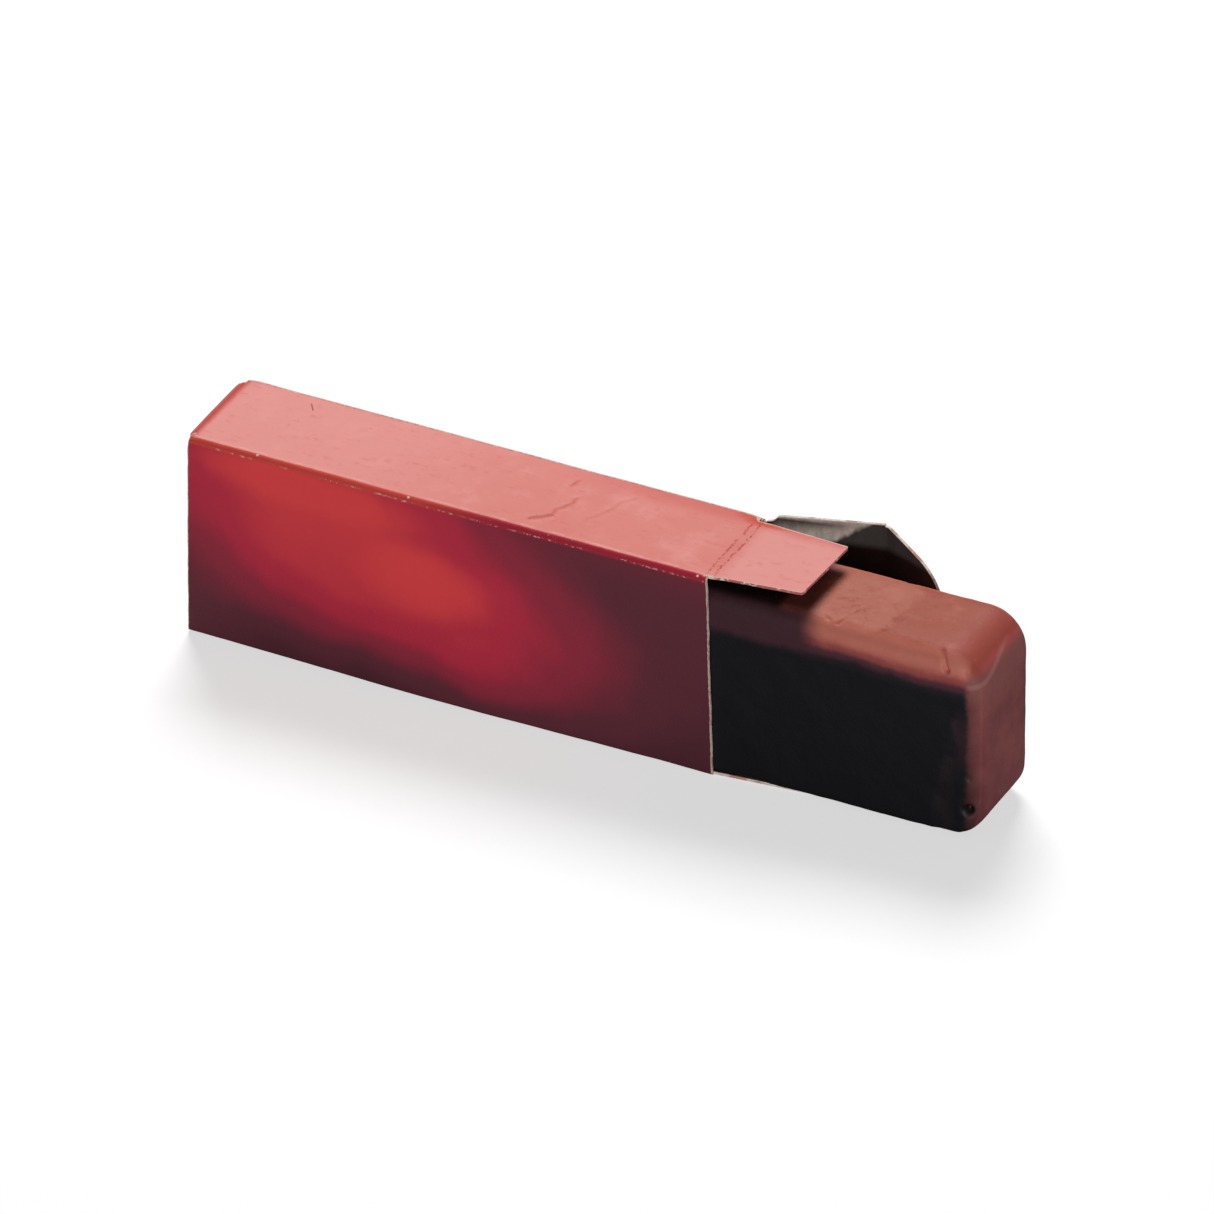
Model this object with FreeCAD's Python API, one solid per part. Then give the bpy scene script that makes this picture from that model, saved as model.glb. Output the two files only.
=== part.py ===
"""A cast bar of buffing compound, half drawn out of the folding carton that it is sold in.

The carton is one die-cut and creased sheet of board with a straight tuck end at each end. The far end is shut.
The near end is open, with its two dust flaps and its closing flap folded out of the bar's way.

Frame: X runs along the carton towards its open end, Y from its front panel to its back panel, and Z up. The origin
is the centre of the carton's underside. All sizes are in millimetres.
"""

import FreeCAD
import Part
import math
import os

V = FreeCAD.Vector

# Bar
BAR_LENGTH = 98.0
BAR_DEPTH = 19.6
BAR_HEIGHT = 36.2
BAR_TOP_END_RADIUS = 7.3     # the top edge of each end, seen from the side
BAR_BOTTOM_END_RADIUS = 5.9  # the bottom edge of each end, seen from the side
BAR_SIDE_RADIUS = 3.0        # the edges round each long side, along its top and up its ends
BAR_FOOT_RADIUS = 0.6        # the sharper edges that it lies on
BAR_DRAWN_OUT = 50.7         # how much of the bar is out of the carton
BAR_YAW = 0.5                # how far it lies askew in the carton, in degrees

# Board
BOARD = 0.5                  # its thickness
FOLD_RADIUS = 0.9            # outside of a crease
LAYER_GAP = 0.15             # air between two layers of board that lie on each other

# How the carton fits round the bar
SIDE_CLEARANCE = 0.6         # on each side of the bar, where it lies in the middle
TOP_CLEARANCE = 2.3          # between the bar and the glue flap
END_CLEARANCE = 2.5          # what is left along the carton when both its ends are shut
CORNER_CLEARANCE = 0.05      # between the front panel and the corner of the bar that lies against it
TUCK_CLEARANCE = 0.5         # between the front panel and a tongue that is tucked in behind it

# Glue seam, along the top of the back
GLUE_FLAP_WIDTH = 11.0       # the strip of the back panel that is glued under the top panel
GLUE_FLAP_TAPER = 3.0        # how far its corners are cut back
SEAM_SETBACK = 0.35          # the top panel's raw edge stops this far short of the back face
SEAM_FOLD_SHARE = 0.8        # the radius of the fold under that edge, as a share of the setback

# Flaps, each measured from its crease
DUST_FLAP_LENGTH = 16.6
DUST_FLAP_TAPER = 1.0        # how far each side edge draws in by the free edge
DUST_FLAP_CORNER = 0.8       # radius of the two free corners
CLOSING_FLAP_RELIEF = 0.3    # how much lower the closing flap is than the carton, at its top and at its foot
CLOSING_FLAP_NOTCH = 0.8     # its side edges start this far beyond its crease, clear of the round folds
TUCK_LENGTH = 13.8           # the tongue on the closing flap
TUCK_SHOULDER = 0.4          # how far each side edge of the tongue is set in from the flap's
TUCK_TAPER = 5.2             # how much further it draws in by the tongue's tip
TUCK_CORNER = 9.5            # radius of the tongue's two free corners

# How the open end stands, in degrees
TOP_FLAP_RISE = 1.0          # the top dust flap, above level
CLOSING_FLAP_SWING = 19.0    # the closing flap, out from the line of the back panel
TUCK_BEND = 32.0             # the tongue, back in from the line of the closing flap

# The panels. Where an end is shut, its two layers of board lie just outside the front panel's raw edge
END_LAYERS = 2 * BOARD + LAYER_GAP
CARTON_LENGTH = BAR_LENGTH + END_CLEARANCE + 2 * (END_LAYERS - FOLD_RADIUS)
CARTON_DEPTH = BAR_DEPTH + 2 * (SIDE_CLEARANCE + BOARD)
CARTON_HEIGHT = BAR_HEIGHT + TOP_CLEARANCE + 3 * BOARD

# Places that follow from the sizes
MOUTH_X = CARTON_LENGTH / 2
SHUT_X = -CARTON_LENGTH / 2
FRONT_Y = -CARTON_DEPTH / 2
BACK_Y = CARTON_DEPTH / 2
INNER_RADIUS = FOLD_RADIUS - BOARD
# The dust flaps shut behind the closing flap, so the panels that carry them end one layer sooner
SLEEVE_END_X = MOUTH_X - BOARD - LAYER_GAP
# The board that a right-angled crease takes up, along its middle. It stays the same however far the crease is bent
CREASE_LENGTH = (FOLD_RADIUS - BOARD / 2) * math.pi / 2
# From crease to crease, so that the tongue goes in behind the front panel
CLOSING_FLAP_LENGTH = CARTON_DEPTH - BOARD - TUCK_CLEARANCE - 2 * FOLD_RADIUS
CLOSING_FLAP_HALF_WIDTH = CARTON_HEIGHT / 2 - CLOSING_FLAP_RELIEF
CLOSING_CREASE_HALF_WIDTH = CARTON_HEIGHT / 2 - FOLD_RADIUS
TUCK_HALF_WIDTH = CLOSING_FLAP_HALF_WIDTH - TUCK_SHOULDER
# The dust flaps clear the tongue, which lies between them and the front panel
DUST_FLAP_HALF_WIDTH = CARTON_DEPTH / 2 - BOARD - TUCK_CLEARANCE - BOARD - LAYER_GAP


def rounded_wire(points, radii):
    """A closed wire through the points, with an arc at each point whose radius isn't zero."""
    starts, ends, edges = [], [], []
    for i, point in enumerate(points):
        if not radii[i]:
            starts.append(point)
            ends.append(point)
            continue
        to_before = (points[i - 1] - point).normalize()
        to_after = (points[(i + 1) % len(points)] - point).normalize()
        half = to_before.getAngle(to_after) / 2
        reach = radii[i] / math.tan(half)
        centre = point + (to_before + to_after).normalize() * (radii[i] / math.sin(half))
        middle = centre + (point - centre).normalize() * radii[i]
        starts.append(point + to_before * reach)
        ends.append(point + to_after * reach)
        edges.append(Part.Arc(starts[i], middle, ends[i]).toShape())
    for i, end in enumerate(ends):
        edges.append(Part.makeLine(end, starts[(i + 1) % len(points)]))
    return Part.Wire(Part.__sortEdges__(edges))


def box_between(low, high):
    """A box from its lowest corner to its highest."""
    return Part.makeBox(*(high - low), low)


def sleeve():
    """The four panels, as one tube. The top panel's raw edge shows as a step along the back."""
    outer = rounded_wire(
        [
            V(-SLEEVE_END_X, FRONT_Y, 0.0),
            V(-SLEEVE_END_X, BACK_Y, 0.0),
            V(-SLEEVE_END_X, BACK_Y, CARTON_HEIGHT - BOARD),
            V(-SLEEVE_END_X, BACK_Y - SEAM_SETBACK, CARTON_HEIGHT - BOARD),
            V(-SLEEVE_END_X, BACK_Y - SEAM_SETBACK, CARTON_HEIGHT),
            V(-SLEEVE_END_X, FRONT_Y, CARTON_HEIGHT),
        ],
        [FOLD_RADIUS, FOLD_RADIUS, SEAM_SETBACK * SEAM_FOLD_SHARE, 0.0, 0.0, FOLD_RADIUS],
    )
    inner = rounded_wire(
        [
            V(-SLEEVE_END_X, FRONT_Y + BOARD, BOARD),
            V(-SLEEVE_END_X, BACK_Y - BOARD, BOARD),
            V(-SLEEVE_END_X, BACK_Y - BOARD, CARTON_HEIGHT - BOARD),
            V(-SLEEVE_END_X, FRONT_Y + BOARD, CARTON_HEIGHT - BOARD),
        ],
        [INNER_RADIUS] * 4,
    )
    along = V(2 * SLEEVE_END_X, 0.0, 0.0)
    return Part.Face(outer).extrude(along).cut(Part.Face(inner).extrude(along))


def glue_flap():
    """The strip that turns in from the back panel and is glued under the top panel, with its corners cut back."""
    z = CARTON_HEIGHT - 2 * BOARD
    root_y = BACK_Y - BOARD
    tip_y = root_y - GLUE_FLAP_WIDTH
    points = [
        V(-SLEEVE_END_X, root_y, z),
        V(SLEEVE_END_X, root_y, z),
        V(SLEEVE_END_X - GLUE_FLAP_TAPER, tip_y, z),
        V(GLUE_FLAP_TAPER - SLEEVE_END_X, tip_y, z),
    ]
    return Part.Face(rounded_wire(points, [0.0] * 4)).extrude(V(0.0, 0.0, BOARD))


def panel_ends():
    """Where the front and back panels run on past the sleeve, at both ends of the carton."""
    front = box_between(
        V(SHUT_X, FRONT_Y, FOLD_RADIUS), V(MOUTH_X, FRONT_Y + BOARD, CARTON_HEIGHT - FOLD_RADIUS)
    )
    back = box_between(
        V(SHUT_X, BACK_Y - BOARD, FOLD_RADIUS), V(MOUTH_X, BACK_Y, CARTON_HEIGHT - FOLD_RADIUS)
    )
    return [front, back]


def blank(points, radii):
    """A flap as it is cut, flat: its crease is on x = 0, its printed side on z = 0, and its board below that."""
    return Part.Face(rounded_wire([V(x, y, 0.0) for x, y in points], radii)).extrude(V(0.0, 0.0, -BOARD))


def folded(flap, half_width, angle):
    """The flap turned by the angle, with the crease that joins it to its panel.

    A positive angle folds it to the inside of the carton, and a negative one to the printed side.
    """
    root = Part.makePlane(BOARD, 2 * half_width, V(0.0, -half_width, 0.0), V(1.0, 0.0, 0.0), V(0.0, 0.0, -1.0))
    turned = flap.copy()
    if not angle:
        turned.translate(V(CREASE_LENGTH, 0.0, 0.0))
        return root.extrude(V(CREASE_LENGTH, 0.0, 0.0)).fuse(turned)
    bend_radius = CREASE_LENGTH / math.radians(angle)
    centre = V(0.0, 0.0, -BOARD / 2 - bend_radius)
    y_axis = V(0.0, 1.0, 0.0)
    turned.rotate(centre, y_axis, angle)
    return root.revolve(centre, y_axis, angle).fuse(turned)


def dust_flap(angle):
    """A dust flap in its own frame, folded by the angle."""
    root = DUST_FLAP_HALF_WIDTH
    tip = root - DUST_FLAP_TAPER
    outline = [(0.0, -root), (DUST_FLAP_LENGTH, -tip), (DUST_FLAP_LENGTH, tip), (0.0, root)]
    flap = blank(outline, [0.0, DUST_FLAP_CORNER, DUST_FLAP_CORNER, 0.0])
    return folded(flap, root, angle)


def closing_flap(angle, tuck_angle):
    """The closing flap and its tongue in their own frame, each folded by its angle."""
    tip = TUCK_HALF_WIDTH - TUCK_TAPER
    tongue_outline = [(0.0, -TUCK_HALF_WIDTH), (TUCK_LENGTH, -tip), (TUCK_LENGTH, tip), (0.0, TUCK_HALF_WIDTH)]
    tongue = folded(blank(tongue_outline, [0.0, TUCK_CORNER, TUCK_CORNER, 0.0]), TUCK_HALF_WIDTH, tuck_angle)
    end = CLOSING_FLAP_LENGTH
    tongue.translate(V(end, 0.0, 0.0))
    side = CLOSING_FLAP_HALF_WIDTH
    root = CLOSING_CREASE_HALF_WIDTH
    panel_outline = [
        (0.0, -root),
        (CLOSING_FLAP_NOTCH, -side),
        (end, -side),
        (end, side),
        (CLOSING_FLAP_NOTCH, side),
        (0.0, root),
    ]
    panel = blank(panel_outline, [0.0] * len(panel_outline))
    return folded(panel.fuse(tongue), root, angle)


def hung(flap, crease, out, printed):
    """The flap moved to its crease, with its length along out and its printed side facing along printed."""
    across = printed.cross(out)
    turn = FreeCAD.Matrix(
        out.x, across.x, printed.x, crease.x,
        out.y, across.y, printed.y, crease.y,
        out.z, across.z, printed.z, crease.z,
        0.0, 0.0, 0.0, 1.0,
    )
    return flap.transformed(turn)


def carton():
    """The folded carton, as one sheet of board."""
    to_mouth, to_shut = V(1.0, 0.0, 0.0), V(-1.0, 0.0, 0.0)
    up, down, back = V(0.0, 0.0, 1.0), V(0.0, 0.0, -1.0), V(0.0, 1.0, 0.0)
    middle = CARTON_HEIGHT / 2
    flaps = [
        hung(dust_flap(-TOP_FLAP_RISE), V(SLEEVE_END_X, 0.0, CARTON_HEIGHT), to_mouth, up),
        hung(dust_flap(0.0), V(SLEEVE_END_X, 0.0, 0.0), to_mouth, down),
        hung(closing_flap(-CLOSING_FLAP_SWING, TUCK_BEND), V(MOUTH_X, BACK_Y, middle), to_mouth, back),
        hung(dust_flap(90.0), V(-SLEEVE_END_X, 0.0, CARTON_HEIGHT), to_shut, up),
        hung(dust_flap(90.0), V(-SLEEVE_END_X, 0.0, 0.0), to_shut, down),
        hung(closing_flap(90.0, 90.0), V(SHUT_X, BACK_Y, middle), to_shut, back),
    ]
    return sleeve().multiFuse([glue_flap(), *panel_ends(), *flaps])


def rounded_sides(block):
    """The block with its side edges rounded. Round the bottom of each end, the radius falls to that of the foot."""
    document = FreeCAD.newDocument("bar")
    base = document.addObject("Part::Feature", "block")
    base.Shape = block
    rounding = document.addObject("Part::Fillet", "rounded")
    rounding.Base = base
    radii = []
    for number, edge in enumerate(block.Edges, 1):
        middle = edge.CenterOfMass
        if abs(abs(middle.y) - BAR_DEPTH / 2) > 1e-6:
            continue
        ends = [edge.valueAt(edge.FirstParameter).z, edge.valueAt(edge.LastParameter).z]
        radii.append((number, *(BAR_FOOT_RADIUS if z < 1e-6 else BAR_SIDE_RADIUS for z in ends)))
    rounding.Edges = radii
    document.recompute()
    return rounding.Shape.copy()


def compound_bar():
    """The bar, lying on the carton's floor with one end drawn out, and askew against the front panel."""
    outline = rounded_wire(
        [V(0.0, 0.0, 0.0), V(0.0, 0.0, BAR_HEIGHT), V(-BAR_LENGTH, 0.0, BAR_HEIGHT), V(-BAR_LENGTH, 0.0, 0.0)],
        [BAR_BOTTOM_END_RADIUS, BAR_TOP_END_RADIUS, BAR_TOP_END_RADIUS, BAR_BOTTOM_END_RADIUS],
    )
    outline.translate(V(0.0, -BAR_DEPTH / 2, 0.0))
    bar = rounded_sides(Part.Face(outline).extrude(V(0.0, BAR_DEPTH, 0.0)))
    inner_end = BAR_DRAWN_OUT - BAR_LENGTH
    against_front = FRONT_Y + BOARD + CORNER_CLEARANCE + BAR_DEPTH / 2
    bar.translate(V(MOUTH_X + BAR_DRAWN_OUT, against_front, BOARD))
    bar.rotate(V(MOUTH_X + inner_end, against_front, 0.0), V(0.0, 0.0, 1.0), BAR_YAW)
    return bar


def write(name, shape):
    """Checks that a piece is one good solid, and writes its STEP file."""
    piece = shape.removeSplitter()
    solids = piece.Solids
    box = piece.BoundBox
    print(name, len(solids), "solid", round(piece.Volume, 1), "mm3", piece.isValid())
    print("  x", round(box.XMin, 2), round(box.XMax, 2), "y", round(box.YMin, 2), round(box.YMax, 2),
          "z", round(box.ZMin, 2), round(box.ZMax, 2))
    solids[0].exportStep(os.path.join("parts", name + ".step"))


os.makedirs("parts", exist_ok=True)
pieces = {"carton": carton(), "compound_bar": compound_bar()}
for node, solid in pieces.items():
    write(node, solid)
print("overlap mm3", round(pieces["carton"].common(pieces["compound_bar"]).Volume, 4))
print("gap mm", round(pieces["carton"].distToShape(pieces["compound_bar"])[0], 4))
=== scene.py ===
# %% [markdown]
# # A bar of buffing compound, half out of its carton
# The real thing is a cast bar of iron-oxide polishing wax, sold in a folding carton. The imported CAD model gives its
# sizes and places. This lesson dresses it: the carton is folded again as one sheet with a printed side, a grey side and
# pale cut edges, and the bar gets the uneven skin of a casting.

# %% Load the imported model
import math

import bmesh
import bpy
from mathutils import Matrix, Vector, noise

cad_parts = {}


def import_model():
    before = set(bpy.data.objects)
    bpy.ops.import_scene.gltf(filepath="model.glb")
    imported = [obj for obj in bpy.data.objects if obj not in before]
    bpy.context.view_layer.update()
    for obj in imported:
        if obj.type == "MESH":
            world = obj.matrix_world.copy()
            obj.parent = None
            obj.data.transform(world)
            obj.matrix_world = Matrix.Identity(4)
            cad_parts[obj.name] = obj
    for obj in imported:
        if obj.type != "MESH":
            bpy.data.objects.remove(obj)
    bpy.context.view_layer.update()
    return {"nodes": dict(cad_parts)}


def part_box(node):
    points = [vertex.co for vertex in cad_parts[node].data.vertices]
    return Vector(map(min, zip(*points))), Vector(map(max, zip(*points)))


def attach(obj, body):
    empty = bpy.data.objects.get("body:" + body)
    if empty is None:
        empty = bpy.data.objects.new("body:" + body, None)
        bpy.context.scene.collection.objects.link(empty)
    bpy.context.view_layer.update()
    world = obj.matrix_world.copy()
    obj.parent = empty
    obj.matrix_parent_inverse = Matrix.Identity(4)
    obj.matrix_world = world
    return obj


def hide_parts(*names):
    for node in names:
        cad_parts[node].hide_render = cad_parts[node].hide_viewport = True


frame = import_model()

# %% [markdown]
# ## Sizes, read from the model
# Nothing is measured twice. The carton's panels are found from its CAD mesh, so this script follows when the CAD
# changes. The origin is the middle of the carton's underside, so most of its faces lie at plus or minus a half.

# %% Where the carton's panels are
MM = 0.001
X, Y, Z = 0, 1, 2
BOARD = 0.5 * MM
FOLD_RADIUS = 0.9 * MM
LAYER_GAP = 0.15 * MM
NEAR = 0.01 * MM

carton_points = [v.co for v in frame["nodes"]["carton"].data.vertices]
carton_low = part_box("carton")[0]
bar_low, bar_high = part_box("compound_bar")
FRONT_Y = carton_low.y
BACK_Y = -FRONT_Y
TOP_Z = max(co.z for co in carton_points if co.x < 0)
SHUT_X = min(co.x for co in carton_points if co.y < FRONT_Y + NEAR)
MOUTH_X = -SHUT_X
SLEEVE_END_X = MOUTH_X - BOARD - LAYER_GAP
print(f"carton {2 * MOUTH_X / MM:.1f} x {2 * BACK_Y / MM:.1f} x {TOP_Z / MM:.1f} mm")

# %% [markdown]
# ## Camera
# The photograph was taken from far off with a long lens, so the carton's edges hardly converge. The camera stands two
# and a half metres away and looks at a point on the front panel, at the angle that makes the corners fall into place.

# %% Camera
AIM = Vector((30.9, -10.7, 28.5)) * MM
CAMERA_DISTANCE = 2.5
AZIMUTH = math.radians(27.57)
ELEVATION = math.radians(32.77)
ROLL = math.radians(-0.48)
LENS = 435.6

backward = Vector(
    (math.sin(AZIMUTH) * math.cos(ELEVATION), -math.cos(AZIMUTH) * math.cos(ELEVATION), math.sin(ELEVATION))
)
right = Vector((math.cos(AZIMUTH), math.sin(AZIMUTH), 0.0))
turned = Matrix((right, backward.cross(right), backward)).transposed() @ Matrix.Rotation(ROLL, 3, "Z")
camera = bpy.data.objects.new("camera", bpy.data.cameras.new("camera"))
camera.data.lens = LENS
camera.data.clip_start = 0.1
camera.data.clip_end = 20.0
camera.matrix_world = Matrix.Translation(AIM + backward * CAMERA_DISTANCE) @ turned.to_4x4()
bpy.context.scene.collection.objects.link(camera)
bpy.context.scene.camera = camera
print("camera at", [round(v, 3) for v in camera.matrix_world.translation])

# %% [markdown]
# ## Shader sums
# A finish is mostly arithmetic on a point's place: how far it is from a fold, or how near the middle of the glow. A
# small class wraps a socket and adds Math nodes when its values are added or multiplied, so a finish reads as a sum.

# %% A socket that can be used in a sum
class Field:
    """The value of a socket at each point of the surface."""

    def __init__(self, finish, socket):
        self.finish = finish
        self.socket = socket

    def combine(self, operation, other=0.0, swapped=False):
        values = {0: other, 1: self} if swapped else {0: self, 1: other}
        return self.finish.node("ShaderNodeMath", {"operation": operation}, values)

    def __add__(self, other):
        return self.combine("ADD", other)

    def __sub__(self, other):
        return self.combine("SUBTRACT", other)

    def __rsub__(self, other):
        return self.combine("SUBTRACT", other, swapped=True)

    def __mul__(self, other):
        return self.combine("MULTIPLY", other)

    def __pow__(self, other):
        return self.combine("POWER", other)

    __radd__ = __add__
    __rmul__ = __mul__

    def __abs__(self):
        return self.combine("ABSOLUTE")

    def most(self, other):
        return self.combine("MAXIMUM", other)

    def step(self, zero_at, one_at):
        """A smooth slope from 0 to 1 between two values, which may be given in either order."""
        low, high = sorted((zero_at, one_at))
        first = 0.0 if zero_at < one_at else 1.0
        values = {"Value": self, "From Min": low, "From Max": high, "To Min": first, "To Max": 1.0 - first}
        return self.finish.node("ShaderNodeMapRange", {"interpolation_type": "SMOOTHSTEP"}, values)


# %% A material that is built node by node
class Finish:
    """A material. Its node method adds any kind of node, sets it and wires it."""

    def __init__(self, name):
        self.material = bpy.data.materials.new(name)
        self.material.use_nodes = True
        self.tree = self.material.node_tree
        self.tree.nodes.clear()
        place = self.node("ShaderNodeTexCoord", output="Object")
        self.place = self.node("ShaderNodeVectorMath", {"operation": "SCALE"}, {0: place, "Scale": 1 / MM})
        self.x = self.axis("X")
        self.y = self.axis("Y")
        self.z = self.axis("Z")

    def node(self, kind, settings=None, values=None, output=0):
        made = self.tree.nodes.new(kind)
        for name, setting in (settings or {}).items():
            setattr(made, name, setting)
        for name, value in (values or {}).items():
            if isinstance(value, Field):
                self.tree.links.new(value.socket, made.inputs[name])
            else:
                made.inputs[name].default_value = value
        return Field(self, made.outputs[output]) if made.outputs else None

    def axis(self, letter):
        """A point's place along one axis, in millimetres."""
        return self.node("ShaderNodeSeparateXYZ", {}, {0: self.place}, output=letter)

    def noise(self, size, detail=2.0, roughness=0.5, stretch=(1.0, 1.0, 1.0), shift=0.0):
        """Cloudy noise with a middle of a half. Its clouds are about as large as the size, in millimetres."""
        moved = self.node(
            "ShaderNodeMapping", {}, {"Vector": self.place, "Scale": stretch, "Location": (shift, shift, shift)}
        )
        values = {"Vector": moved, "Scale": 1 / size, "Detail": detail, "Roughness": roughness}
        return self.node("ShaderNodeTexNoise", {}, values)

    def blend(self, amount, first, second):
        """The first colour where the amount is 0, and the second where it is 1."""
        return self.node("ShaderNodeMix", {"data_type": "RGBA"}, {0: amount, 6: first, 7: second}, output=2)

    def shade(self, colour, factor):
        """The colour times a number that varies over the surface."""
        return self.node("ShaderNodeVectorMath", {"operation": "SCALE"}, {0: colour, "Scale": factor})

    def ramp(self, amount, stops):
        """A colour that passes through the stops, each a place from 0 to 1 and its colour."""
        made = self.tree.nodes.new("ShaderNodeValToRGB")
        made.color_ramp.interpolation = "EASE"
        for i, (place, colour) in enumerate(stops):
            if i < 2:
                made.color_ramp.elements[i].position = place
            else:
                made.color_ramp.elements.new(place)
            made.color_ramp.elements[i].color = colour
        self.tree.links.new(amount.socket, made.inputs[0])
        return Field(self, made.outputs[0])

    def kept(self, name):
        """A number that was stored on the points of the mesh."""
        return self.node("ShaderNodeAttribute", {"attribute_name": name}, output="Fac")

    def spot(self, centre, radius):
        """1 inside a small soft spot round a point, in millimetres, and 0 outside."""
        dx, dy, dz = self.x - centre[0], self.y - centre[1], self.z - centre[2]
        return ((dx * dx + dy * dy + dz * dz) ** 0.5).step(radius, radius * 0.6)

    def bump(self, height, distance):
        """Leans the surface as a height of 0 to 1 would, with the distance in metres."""
        return self.node("ShaderNodeBump", {}, {"Height": height, "Distance": distance}, output="Normal")

    def principled(self, values):
        shader = self.node("ShaderNodeBsdfPrincipled", {}, values)
        self.node("ShaderNodeOutputMaterial", {}, {"Surface": shader})
        return self.material


def grey(level):
    return (level, level, level, 1.0)


def paint(red, green, blue, light=1.0, sheen=0.0):
    """A colour as it is read off a screen, from 0 to 255, made linear. The light is the share that falls on it, and the
    sheen is what its gloss adds."""
    linear = [((c / 255 + 0.055) / 1.055) ** 2.4 for c in (red, green, blue)]
    return (*[min(1.0, max(0.004, (c - sheen) / light)) for c in linear], 1.0)


# %% [markdown]
# ## The carton's sheet
# A folding carton is one flat sheet, so it is modelled as one: the section that the panels make is drawn as a wire, its
# corners are bevelled into folds, and the wire is extruded along the carton. Only the printed side is drawn. The
# board's thickness comes last, from a Solidify modifier, which also gives the grey side and the cut edges their own
# materials. That is simpler than modelling both sides, and the folds keep an even thickness.

# %% The section of the panels and the glue flap
SEAM_SETBACK = 0.35 * MM
SEAM_GAP = 0.04 * MM
GLUE_FLAP_WIDTH = 11.0 * MM
FOLD_STEPS = 5


def draw_section(mesh, x):
    """The panels as a wire, from the top panel's raw edge round to the glue flap under it."""
    seam_z = TOP_Z - BOARD - SEAM_GAP
    corners = [
        (BACK_Y - SEAM_SETBACK, TOP_Z),
        (FRONT_Y, TOP_Z),
        (FRONT_Y, 0.0),
        (BACK_Y, 0.0),
        (BACK_Y, seam_z),
        (BACK_Y - BOARD - GLUE_FLAP_WIDTH, seam_z),
    ]
    points = [mesh.verts.new((x, y, z)) for y, z in corners]
    for pair in zip(points, points[1:]):
        mesh.edges.new(pair)
    bmesh.ops.bevel(
        mesh, geom=points[1:-1], offset=FOLD_RADIUS, segments=FOLD_STEPS, profile=0.5, affect="VERTICES", material=-1
    )


sheet = bmesh.new()
draw_section(sheet, -SLEEVE_END_X)
drawn = bmesh.ops.extrude_edge_only(sheet, edges=sheet.edges[:])["geom"]
far_points = [part for part in drawn if isinstance(part, bmesh.types.BMVert)]
bmesh.ops.translate(sheet, verts=far_points, vec=(2 * SLEEVE_END_X, 0.0, 0.0))
print("sleeve", len(sheet.faces), "faces")

# %% [markdown]
# ## Cuts that let the sheet bend
# Flat panels of one face each can't sag or crumple. The sheet is sliced straight across in all three directions, about
# every millimetre, and also where the flaps begin, so that each flap can grow from whole edges. The lid's small creases
# need finer faces still, so the faces round them are divided twice more.

# %% Slice the sheet
TUCK_CLEARANCE = 0.5 * MM
DUST_ROOT = BACK_Y - 2 * BOARD - TUCK_CLEARANCE - LAYER_GAP
FLAT_FRONT_Y = FRONT_Y + FOLD_RADIUS
CLOSING_ROOT = TOP_Z / 2 - FOLD_RADIUS
CELL = 1.05 * MM


def slice_sheet(mesh, axis, places):
    """Cuts the mesh straight across the axis at each of the places."""
    across = Vector((0.0, 0.0, 0.0))
    across[axis] = 1.0
    for place in places:
        everything = mesh.verts[:] + mesh.edges[:] + mesh.faces[:]
        bmesh.ops.bisect_plane(mesh, geom=everything, dist=0.001 * MM, plane_co=across * place, plane_no=across)


def evenly(low, high, cell):
    """The places that divide a span into equal cells, without its two ends."""
    count = max(1, round((high - low) / cell))
    return [low + (high - low) * i / count for i in range(1, count)]


def divide(mesh, chosen):
    """Divides the faces whose middle is chosen into four."""
    edges = [edge for face in mesh.faces if chosen(face.calc_center_median() / MM) for edge in face.edges]
    bmesh.ops.subdivide_edges(mesh, edges=list(dict.fromkeys(edges)), cuts=1, use_grid_fill=True)


def near_creases(co):
    return co.z > TOP_Z / MM - 0.01 and 11.0 < co.x < 30.5 and abs(co.y) < 9.0


middle_z = TOP_Z / 2
slice_sheet(sheet, X, evenly(-SLEEVE_END_X, SLEEVE_END_X, CELL))
slice_sheet(sheet, Y, [-DUST_ROOT, *evenly(-DUST_ROOT, DUST_ROOT, CELL), DUST_ROOT])
slice_sheet(
    sheet,
    Z,
    [middle_z - CLOSING_ROOT, *evenly(middle_z - CLOSING_ROOT, middle_z + CLOSING_ROOT, CELL), middle_z + CLOSING_ROOT],
)
divide(sheet, near_creases)
divide(sheet, near_creases)
print("sliced sleeve", len(sheet.faces), "faces")

# %% [markdown]
# ## Flaps, grown row by row
# Each flap grows out of a panel's edge. A row of new edges is extruded a step at a time, along a heading that turns at
# the crease, and drawn narrower towards the tip. So the crease and the flap's rounded corners come from one list of
# steps, and the flap stays part of the sheet.

# %% Grow a flap
def edges_at(mesh, x, inside):
    """The raw edges of the sheet at one end whose two points are both inside the flap's root."""
    return [
        edge
        for edge in mesh.edges
        if edge.is_boundary and all(abs(v.co.x - x) < NEAR and inside(v.co) for v in edge.verts)
    ]


def grow(mesh, edges, out, inward, across, rows):
    """Extrudes a flap. Each row is its length, the turn of its heading in degrees, and where it starts and ends."""
    heading = 0.0
    spots = [v.co.dot(across) for edge in edges for v in edge.verts]
    low, high = min(spots), max(spots)
    for length, bend, new_low, new_high in rows:
        heading += math.radians(bend)
        move = (out * math.cos(heading) + inward * math.sin(heading)) * length
        geom = bmesh.ops.extrude_edge_only(mesh, edges=edges)["geom"]
        edges = [part for part in geom if isinstance(part, bmesh.types.BMEdge)]
        for point in (part for part in geom if isinstance(part, bmesh.types.BMVert)):
            share = (point.co.dot(across) - low) / (high - low)
            point.co += across * (new_low + share * (new_high - new_low) - point.co.dot(across)) + move
        low, high = new_low, new_high


# %% The outline of a flap and the bend of a crease
CREASE_LENGTH = (FOLD_RADIUS - BOARD / 2) * math.pi / 2
CREASE_ROWS = 6


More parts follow.
